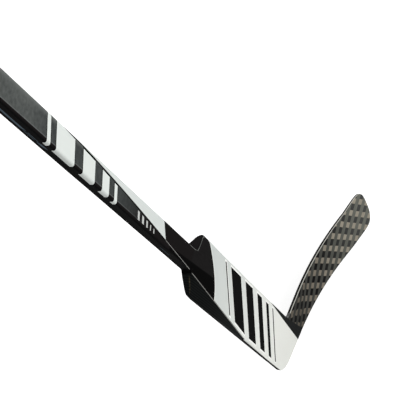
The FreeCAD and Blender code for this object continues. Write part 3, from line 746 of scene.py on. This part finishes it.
def shaded_side(look, x, z):
    """The darker strip on the heel side of the front, which narrows from the paddle up the shaft."""
    return look.under(x, look.line(look.less(z, SHOULDER), *SHADE_LINE), SHADE_SOFT)


# Borders on the shaft as (edge, softness). The side is the distance from the middle plane.
# The first three border the painted sheen of the satin coat; the grip begins at the fourth.
SHEEN_SIDE, SHEEN_HEEL, SHEEN_LOW, GRIP_LOW = (6.8, 0.3), (-10.9, 0.45), (900.0, 85.0), (1232.0, 40.0)
BLACK_SIDE, SHADE_SIDE, SHADE_TOP, CORNER_X = (9.0, 0.8), (9.4, 0.3), (735.0, 4.0), (10.5, 4.5)
# Place of the painted highlight along the heel-side edge
LINE_SIDE, LINE_X, LINE_HALF = (8.0, 0.3), -10.6, (0.5, 0.3)
# Border of the wedge toward the heel side, a curve over its share of a length above a height
BORDER_LOW, BORDER_LENGTH, BORDER_CURVE = 640.0, 476, (-10.1, 38.6, -15.3)
# How far the bars reach round the heel side, at the front and at the back
BAR_REACH = 23.0, 14.0
# Dashes on the heel side as (height, level): 1 begins a wide one, 0.5 a twin one and 0 a gap. A fine one lies below.
DASH_SPAN, DASH_LEAN, DASH_Y, DASH_HALF = (1150, 1350), -3.0, 2.5, (1.6, 0.2)
DASHES = (1150, 0.0), (1160, 1.0), (1180, 0.0), (1188, 0.5), (1220, 0.0), (1226, 1.0), (1330, 0.0)
LOW_DASH, LOW_DASH_Y, LOW_DASH_HALF = (703.0, 745.0, 0.5), -0.5, (0.35, 0.2)
WEDGE_EDGE, WEDGE_SIDE, WEDGE_LINES = (1.19, 764.8), (6.5, 0.4), (2.6, 1.3)


def shaft_paint():
    """Satin coat as painted sheen and shade, bars, dashes and a white wedge on black laminate, with painted
    highlights.
    """
    look = Look("shaft_paint")
    x, y, z = look.stick_place()
    side = look.math("ABSOLUTE", y)
    wrap = look.less(x, look.less(HALF_D, side))
    slant = look.line(wrap, SHAFT_SLANT, z)
    grain = look.noise(look.point(x, y, z), 1.1, 2.0)
    cloud = look.streaks((x, y, z), (0.08, 0.08, 0.02), 4.0)

    # Painted sheen of the satin coat: grey on the two wide sides, paler at the grip and fading to black toward the
    # paddle
    flat = look.both(look.over(side, *SHEEN_SIDE), look.over(x, *SHEEN_HEEL))
    fade = look.over(z, *SHEEN_LOW)
    blotch = look.noise(look.point(x, y, look.times(z, 0.7)), 0.22, 3.0)
    speck = look.add(look.times(look.add(grain, cloud), 0.3), look.stretch(blotch, -0.3, 0.7))
    coat_sheen = look.mix(look.over(slant, *GRIP_LOW), look.mix(speck, *SATIN_SHEEN), look.mix(speck, *GRIP_SHEEN))
    # The narrow sides get a darker black than the wide faces: painted shade.
    black = look.mix(look.over(side, *BLACK_SIDE), *SHAFT_BLACK)
    shade = look.both(shaded_side(look, x, z), look.over(side, *SHADE_SIDE), look.under(z, *SHADE_TOP))
    base = look.mix(look.both(flat, fade), look.mix(shade, black, SHAFT_SHADE), coat_sheen)
    # A thin painted highlight along the heel-side edge of the wide sides
    highlight_line = look.both(look.over(side, *LINE_SIDE), look.under(look.gap(x, LINE_X), *LINE_HALF))
    base = look.mix(look.both(highlight_line, fade, 0.4), base, HEEL_EDGE_HIGHLIGHT)
    # Painted sheen, lighter toward the toe corner of the wide sides
    base = look.mix(look.both(flat, fade, look.over(x, *CORNER_X), 0.75), base, TOE_CORNER_SHEEN)

    # Bars with dark keylines, wrapped round the heel side and ending at the wedge's border, and short ticks below
    border = look.curve(look.times(look.less(z, BORDER_LOW), 1 / BORDER_LENGTH), *BORDER_CURVE)
    heel_reach = look.add(wrap, look.stretch(look.over(y, 0.0), *BAR_REACH))
    reach = look.smaller(look.less(look.less(border, 0.6), wrap), heel_reach)
    reach = look.smaller(reach, look.larger(look.less(side, 5.0), look.times(x, -10.0)))
    marks = look.bars(slant, SHAFT_BARS, *SHAFT_SPAN, SHAFT_KEY)
    level = look.smaller(marks, look.within(reach, SHAFT_KEY))
    base = look.mix(look.over(level, *KEY_LEVEL), base, DEEP)
    base = look.mix(look.over(level, *BAR_LEVEL), base, SHAFT_WHITE)
    ticks = look.bars(slant, SHAFT_TICKS, *SHAFT_SPAN)
    short = look.both(look.over(wrap, -11.0), look.under(wrap, look.less(border, 3.0)))
    base = look.mix(look.both(ticks, short), base, TICK_GREY)

    # Slate dashes on the heel side
    off = look.gap(y, DASH_Y)
    upper = look.steps(look.line(y, DASH_LEAN, z), DASHES, *DASH_SPAN)
    split_line = look.stretch(look.over(upper, 0.7), 0.75, -1.0)
    twin = look.both(look.under(off, *DASH_HALF), look.over(off, split_line, 0.2), look.over(upper, 0.3))
    lower = look.both(look.between(z, *LOW_DASH), look.under(look.gap(y, LOW_DASH_Y), *LOW_DASH_HALF))
    heel_side = look.under(x, -12.5, 0.5)
    base = look.mix(look.both(heel_side, look.larger(twin, lower), 0.85), base, SLATE)

    # White wedge with a dark keyline, and the pinstripe below its tip
    edge = look.line(x, *WEDGE_EDGE)
    face = look.over(side, *WEDGE_SIDE)
    keyline = look.both(look.over(x, look.less(border, 1.3)), look.over(z, look.less(edge, 2.4)), face)
    base = look.mix(keyline, base, DEEP)
    lines = look.fine_lines(x, z, *WEDGE_LINES)
    pale = look.mix(look.stretch(lines, 0.5, 0.85), *WEDGE_WHITE)
    base = look.mix(look.both(look.over(x, look.add(border, 0.3)), look.over(z, edge, 0.4), face), base, pale)
    pin_line = look.line(look.less(z, SHOULDER), PIN_SLOPE, PIN_START)
    pin = look.both(look.under(look.gap(x, pin_line), *PIN_HALF), look.under(z, edge),
                    look.over(side, HALF_D - 0.7, 0.3))
    base = look.mix(pin, base, SILVER)

    # Painted highlight on the toe corner just above the shoulder
    deep = look.add(y, HALF_D)
    toe_rim_highlight = look.both(look.over(x, 12.6, 0.4), look.over(deep, 0.3, 0.2), look.under(deep, 1.9, 0.2),
                       look.under(z, 655.0, 5.0))
    base = look.mix(look.times(toe_rim_highlight, RIM_HIGHLIGHT_SHARE), base, RIM_HIGHLIGHT)
    look.set(Base_Color=base, Roughness=look.stretch(cloud, 0.3, 0.42), Specular_IOR_Level=LOW_SPECULAR,
             Normal=look.bump(grain, 0.1, 0.25))
    return look.material


# The white field: its curved upper edge over x, its end on the toe side and its wrap round the heel edge over z
FIELD_EDGE, FIELD_END, FIELD_WRAP = (0.01385, 1.1848, 511.7), (0.0643, 27.35), (0.0074, -0.12)
# Heights over which painted shade darkens the white toward the shoulder, and the fine lines
FIELD_SHADE, FIELD_LINES = (330.0, 260.0), (2.1, 1.5)
# Ends of the bars, from the heel border of the field and on the toe side
BAR_MARGIN, BAR_TOE = 4.0, 36.0
RIB_PITCH, FACET_FADE, FACET_SHARE = 2.4, (430.0, 90.0), 0.35
# Painted glints along the step: slope of their line, depth, heights and share
GLINT_SLOPE, GLINT_DEPTH, GLINT_HEIGHTS, GLINT_SHARE = 0.5286, 4.8, (578.0, 612.0, 5.0), 0.6
# Height above which the pinstripe leaves the crease, and its gap there
PIN_JOG, PIN_GAP_Z, PIN_GAP = 622.0, 628.0, (8.5, 3.5)


def paddle_paint():
    """White field with slanted bars on black laminate."""
    look = Look("paddle_paint")
    x, y, z = look.stick_place()
    cloud = look.streaks((x, y, z), (0.04, 0.04, 0.012), 4.0)
    fibres = look.noise(look.point(look.times(x, 0.55), y, look.times(z, 0.03)), 1.0, 3.0)
    slope = (HEEL_OUT + FACET_START) / (SHOULDER - FACET_END)
    crease = look.line(look.less(SHOULDER, z), slope, -FACET_START)
    heel = look.larger(crease, HEEL_OUT)
    share = look.smaller(look.times(look.less(z, TAPER_END), 1 / (SHOULDER - TAPER_END)), 1.0)
    deep = look.less(y, look.line(look.larger(share, 0.0), FRONT_LOW - HALF_D, -FRONT_LOW))

    # White field between a curved edge at the shoulder, the crease and the strip along the blade
    edge = look.curve(x, *FIELD_EDGE)
    end = look.line(z, *FIELD_END)
    wrap = look.both(look.under(z, FACET_END + 1.0, 1.0), look.under(deep, look.line(z, *FIELD_WRAP), 0.2))
    inside = look.larger(look.over(x, look.add(heel, 0.8)), wrap)
    field = look.both(look.under(z, edge, 0.4), inside, look.under(x, end, 0.3))
    lines = look.fine_lines(x, z, *FIELD_LINES)
    # The white darkens toward the shoulder as painted shade.
    pale = look.mix(look.over(z, *FIELD_SHADE), *PADDLE_WHITE)
    pale = look.mix(look.stretch(lines, 0.12, 0.24), pale, PADDLE_LINE)
    pale = look.mix(look.both(field, look.over(z, look.less(edge, 2.6), 0.3)), pale, BRIGHT)

    # Slanted bars with pale keylines
    marks = look.bars(look.line(x, PADDLE_SLANT, z), PADDLE_BARS, *PADDLE_SPAN, PADDLE_KEY)
    reach = look.smaller(look.less(x, look.add(heel, BAR_MARGIN)), look.less(BAR_TOE, x))
    level = look.smaller(marks, look.within(reach, PADDLE_KEY))
    pale = look.mix(look.over(level, *KEY_LEVEL), pale, BRIGHT)
    pale = look.mix(look.over(level, *BAR_LEVEL), pale, PADDLE_BAR)

    # Black laminate, with fine ribs on the facet
    dark = look.mix(fibres, *PADDLE_BLACK)
    dark = look.mix(shaded_side(look, x, z), dark, PADDLE_SHADE)
    dark = look.mix(look.over(x, end, 0.4), dark, TOE_STRIP)
    ribs = look.math("SINE", look.times(x, RIB_PITCH))
    facet = look.mix(look.stretch(ribs, 0.5, 1.0), *FACET_BLACK)
    facet = look.mix(look.both(look.under(z, *FACET_FADE), FACET_SHARE), facet, FACET_PALE)
    dark = look.mix(look.under(x, look.less(crease, 0.6)), dark, facet)
    base = look.mix(field, dark, pale)

    # Painted highlight on the front edge of the toe-side shoulder, and on the corner that runs up from it
    rim = look.both(look.under(look.gap(deep, 0.7), 0.35, 0.15), look.over(z, 600.0, 4.0), look.over(x, 12.0, 1.0))
    corner = look.both(look.over(x, 12.9, 0.4), look.under(x, 15.0), look.under(deep, 1.9, 0.2),
                       look.over(deep, 0.35, 0.2), look.over(z, 612.0, 2.0))
    base = look.mix(look.times(look.larger(rim, corner), RIM_HIGHLIGHT_SHARE), base, RIM_HIGHLIGHT)

    # Painted glints in spots along the step of the heel-side shoulder
    ledge_x = look.line(look.less(z, LEDGE_Z), GLINT_SLOPE, LEDGE_X)
    ledge_deep = look.line(look.less(x, STEP_X), -STEP_SLOPE, GLINT_DEPTH)
    glint_path = look.both(look.under(look.gap(x, ledge_x), 1.2, 0.5), look.between(z, *GLINT_HEIGHTS),
                       look.under(look.gap(deep, ledge_deep), 0.7, 0.5))
    glint_spots = look.over(look.noise(look.point(look.times(z, 0.16), 0.0, 7.0), 1.0, 2.0), 0.5, 0.12)
    base = look.mix(look.both(glint_path, glint_spots, GLINT_SHARE), base, STEP_GLINT)

    # Pinstripe on the crease, broken at the shoulder
    pin_line = look.line(look.over(z, PIN_JOG), PIN_START + FACET_START, crease)
    broken = look.over(look.gap(z, PIN_GAP_Z), *PIN_GAP)
    pin = look.both(look.under(look.gap(x, pin_line), *PIN_HALF), look.over(x, HEEL_OUT + 0.6),
                    look.under(deep, 0.7, 0.3), broken)
    base = look.mix(pin, base, SILVER)
    look.set(Base_Color=base, Roughness=look.stretch(cloud, 0.26, 0.36), Specular_IOR_Level=LOW_SPECULAR,
             Normal=look.bump(fibres, 0.05, 0.2))
    return look.material


# Runs, as (edge, softness), below which the tapes lie loose and painted shade darkens the tones
LOOSE_RUN, NEAR_SHADE_RUN, DIM_SHADE_RUN = (122.0, 30.0), (218.0, 80.0), (274.0, 105.0)
ROW_SKEW, ROW_START, ROW_PITCH = -0.0385, 142.3, 21.7
COLUMN_SKEW, COLUMN_START, COLUMN_PITCH, COLUMN_BEND = 0.2315, 114.0, 29.5, 0.525 / 161.5 ** 2
COLUMN_DROP = 0.0083
WHOLE = 10.0  # keeps counts above 0
CELL_HALF, LIGHT_HALF = (0.245, 0.02), (0.225, 0.02)
STRAW, STRAND = 1.3, 0.09
LAP_LINE, LAP_SOFT = (-6.0 / 80, 6.5), 0.5


def weave():
    """Woven tape in two directions."""
    look = Look("carbon_weave")
    at = look.node("ShaderNodeUVMap", uv_map="run_height").outputs["UV"]
    run, height = look.dot(at, (1 / MM, 0, 0)), look.dot(at, (0, 1 / MM, 0))

    # Two directions of tape at about 45 degrees to the sole, which wander near the joint
    loose = look.under(run, *LOOSE_RUN)
    wander = look.noise(look.point(run, height, 0.0), 0.06, 2.0)
    shift = look.times(look.stretch(wander, -0.5, 0.5), look.line(loose, 12.0, 2.0))
    root = math.sqrt(0.5)
    along = look.add(look.times(look.add(run, height), root), shift)
    cross = look.less(look.times(look.less(run, height), root), shift)
    rows, cols = look.line(cross, ROW_SKEW, along), look.line(along, COLUMN_SKEW, cross)

    # Columns narrow a little toward the toe. Every second one shows beige and dark squares in turn.
    order = look.curve(look.less(cols, COLUMN_START), COLUMN_BEND, 1 / COLUMN_PITCH, 0.5)
    order = look.less(order, look.both(loose, height, COLUMN_DROP))
    cell = look.under(look.gap(look.math("FRACT", look.add(order, WHOLE)), 0.5), *CELL_HALF)
    beat = look.math("FRACT", look.line(rows, 1 / ROW_PITCH, WHOLE + 0.25 - ROW_START / ROW_PITCH))
    light = look.under(look.gap(beat, 0.25), *LIGHT_HALF)

    # Fibres, and tones darkened toward the joint as painted shade
    straws = look.noise(look.point(look.times(cols, STRAW), look.times(rows, STRAND), 0.0), 1.0, 3.0)
    cross_straws = look.noise(look.point(look.times(cols, STRAND), look.times(rows, STRAW), 4.0), 1.0, 3.0)
    patch = look.noise(look.point(look.times(run, 0.02), look.times(height, 0.02), 2.0), 1.0, 2.0)
    near, dim = look.under(run, *NEAR_SHADE_RUN), look.under(run, *DIM_SHADE_RUN)
    beige = look.mix(near, look.mix(straws, *BEIGE), look.mix(straws, *BEIGE_SHADED))
    dark = look.mix(dim, look.mix(cross_straws, *DARK), look.mix(cross_straws, *DARK_SHADED))
    grey = look.mix(dim, look.mix(straws, *GREY), look.mix(straws, *GREY_SHADED))
    base = look.mix(cell, grey, look.mix(light, dark, beige))
    base = look.mix(look.both(loose, look.stretch(patch, 0.3, 1.0), 0.7), base, WEAVE_SHADE)

    # The black of the paddle runs a little way onto the blade, most at the sole.
    off_joint = look.add(look.times(run, COS), look.line(height, SIN, -HEEL_REACH - TOE_LOW))
    base = look.mix(look.under(off_joint, look.line(height, *LAP_LINE), LAP_SOFT), base, LAP_BLACK)
    ridge = look.add(look.times(straws, 0.25), look.times(cell, look.stretch(light, 0.5, 1.0)))
    look.set(Base_Color=base, Roughness=look.stretch(straws, 0.34, 0.48), Specular_IOR_Level=0.0005,
             Normal=look.bump(ridge, 0.12, 0.12))
    return look.material


def edge_band():
    """Dark layers of laminate."""
    look = Look("blade_edge")
    place = look.part_place()
    layers = look.streaks(place, (0.02, 2.2, 0.02))
    scuffs = look.streaks(place, (0.5, 1.0, 0.5), 4.0)
    look.set(Base_Color=look.mix(layers, *EDGE_BLACK), Roughness=look.stretch(scuffs, 0.3, 0.5),
             Specular_IOR_Level=0.002, Normal=look.bump(layers, 0.15, 0.15))
    return look.material


def edge_highlight():
    """Pale streaked strip, a painted highlight along the blade's top edge."""
    look = Look("blade_edge_highlight")
    streaks = look.streaks(look.part_place(), (0.06, 0.4, 0.06), 4.0)
    look.set(Base_Color=look.mix(streaks, *TOP_EDGE_HIGHLIGHT), Roughness=look.stretch(streaks, 0.25, 0.4),
             Specular_IOR_Level=0.01, Normal=look.bump(streaks, 0.08, 0.1))
    return look.material


def moulded(name, low, high, rough, grain_size, strength, depth):
    """A moulded piece with an even grain."""
    look = Look(name)
    at = look.object_place()
    grain = look.noise(at, 1 / (grain_size * MM), 3.0)
    cloud = look.noise(at, 30.0, 3.0)
    look.set(Base_Color=look.mix(cloud, low, high), Roughness=look.stretch(grain, *rough),
             Normal=look.bump(grain, strength, depth))
    return look.material


PLUG_LOOK = moulded("plug_rubber", colour(20, 20, 20), colour(32, 32, 31), (0.55, 0.8), 0.8, 0.2, 0.2)
FOAM_LOOK = moulded("foam_core", colour(214, 205, 172), colour(232, 224, 196), (0.8, 0.95), 1.6, 0.5, 0.5)
INNER_LOOK = moulded("inner_laminate", colour(34, 34, 34), colour(58, 58, 56), (0.4, 0.6), 2.5, 0.2, 0.2)

for piece, slot, materials, nodes in (
    (shaft, "shaft_laminate", [shaft_paint()], ["shaft_tube"]),
    (plug, "end_plug", [PLUG_LOOK], ["butt_end_plug"]),
    (paddle, "paddle_front", [paddle_paint()], ["paddle_front_shell", "paddle_back_shell"]),
    (blade, "blade_weave", [weave(), edge_band(), edge_highlight()],
     ["blade_front_skin", "blade_back_skin", "blade_edge_band"]),
):
    for material in materials:
        piece.data.materials.append(material)
    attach(piece, "root")
    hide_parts(*nodes)
for names, material in (
    (("paddle_core_toe", "paddle_core_heel", "blade_core_upper", "blade_core_lower"), FOAM_LOOK),
    (("shaft_tang", "paddle_spar", "heel_block", "blade_rib"), INNER_LOOK),
):
    for name in names:
        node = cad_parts[name]
        node.data.materials.clear()
        node.data.materials.append(material)


# Floor, light and camera, in metres
def seen(tree):
    """1 for rays from the camera, mirrors and glass, 0 for light."""
    path = tree.nodes.new("ShaderNodeLightPath")
    total = path.outputs["Is Camera Ray"]
    for name in ("Is Glossy Ray", "Is Transmission Ray"):
        add = tree.nodes.new("ShaderNodeMath")
        add.operation = "MAXIMUM"
        tree.links.new(total, add.inputs[0])
        tree.links.new(path.outputs[name], add.inputs[1])
        total = add.outputs[0]
    return total


WHITE = (1.0, 1.0, 1.0, 1.0)
FLOOR_GREY = (0.7, 0.7, 0.7, 1.0)
FLOOR_RADIUS, FLOOR_SIDES, FLOOR_DROP = 9.0, 96, 0.0005
FLOOR_GLOW, GLOW_BORDER = (0.6, 0.74), (2.2, 1.2)
SKY_LIGHT, SKY_SEEN = 0.4, 1.0

bm = bmesh.new()
bmesh.ops.create_circle(bm, cap_ends=True, segments=FLOOR_SIDES, radius=FLOOR_RADIUS)
floor_mesh = bpy.data.meshes.new("floor")
bm.to_mesh(floor_mesh)
bm.free()
floor = bpy.data.objects.new("floor", floor_mesh)
floor.location.z = -FLOOR_DROP
bpy.context.scene.collection.objects.link(floor)
floor_look = Look("floor")
floor_look.set(Base_Color=FLOOR_GREY, Roughness=0.9, Specular_IOR_Level=0.0, Emission_Color=WHITE)
# The lamps reach the middle of the floor, so the rest glows a little more.
away = floor_look.node("ShaderNodeVectorMath", operation="LENGTH")
floor_look.feed(away.inputs[0], floor_look.object_place())
glow = floor_look.stretch(floor_look.over(away.outputs["Value"], *GLOW_BORDER), *FLOOR_GLOW)
floor_look.set(Emission_Strength=floor_look.times(seen(floor_look.tree), glow))
floor.data.materials.append(floor_look.material)

world = bpy.data.worlds.new("studio")
bpy.context.scene.world = world
world.use_nodes = True
sky = world.node_tree.nodes["Background"]
sky.inputs["Color"].default_value = WHITE
sky_level = world.node_tree.nodes.new("ShaderNodeMapRange")
sky_level.inputs["To Min"].default_value = SKY_LIGHT
sky_level.inputs["To Max"].default_value = SKY_SEEN
world.node_tree.links.new(seen(world.node_tree), sky_level.inputs["Value"])
world.node_tree.links.new(sky_level.outputs["Result"], sky.inputs["Strength"])

LAMP_AIM = Vector((-0.2, 0.0, 0.4))


def lamp(name, place, size, power):
    """An area lamp aimed at the stick."""
    light = bpy.data.lights.new(name, "AREA")
    light.shape = "RECTANGLE"
    light.size, light.size_y = size
    light.energy = power
    holder = bpy.data.objects.new(name, light)
    holder.location = place
    holder.rotation_euler = (LAMP_AIM - Vector(place)).to_track_quat("-Z", "Y").to_euler()
    bpy.context.scene.collection.objects.link(holder)


lamp("key", (-1.6, -3.0, 3.4), (2.2, 2.2), 95)
lamp("fill", (2.2, -2.4, 2.2), (2.4, 2.4), 45)
lamp("rear", (-0.5, 3.2, 2.6), (2.4, 2.0), 62)

CAMERA_PLACE = (-1.97817, -0.73888, 2.22894)
CAMERA_RIGHT = (0.3289608, -0.9400864, -0.0895674)
CAMERA_UP = (0.6628027, 0.1622858, 0.7309965)
CAMERA_BACK = (-0.6726644, -0.2998347, 0.6764775)
camera = bpy.data.objects.new("camera", bpy.data.cameras.new("camera"))
camera.data.sensor_width = 36.0
camera.data.lens = 158.1
camera.data.clip_end = 60.0
turn = Matrix((CAMERA_RIGHT, CAMERA_UP, CAMERA_BACK)).transposed()
camera.matrix_world = Matrix.Translation(CAMERA_PLACE) @ turn.to_4x4()
bpy.context.scene.collection.objects.link(camera)
bpy.context.scene.camera = camera
bpy.context.scene.view_settings.view_transform = "Standard"
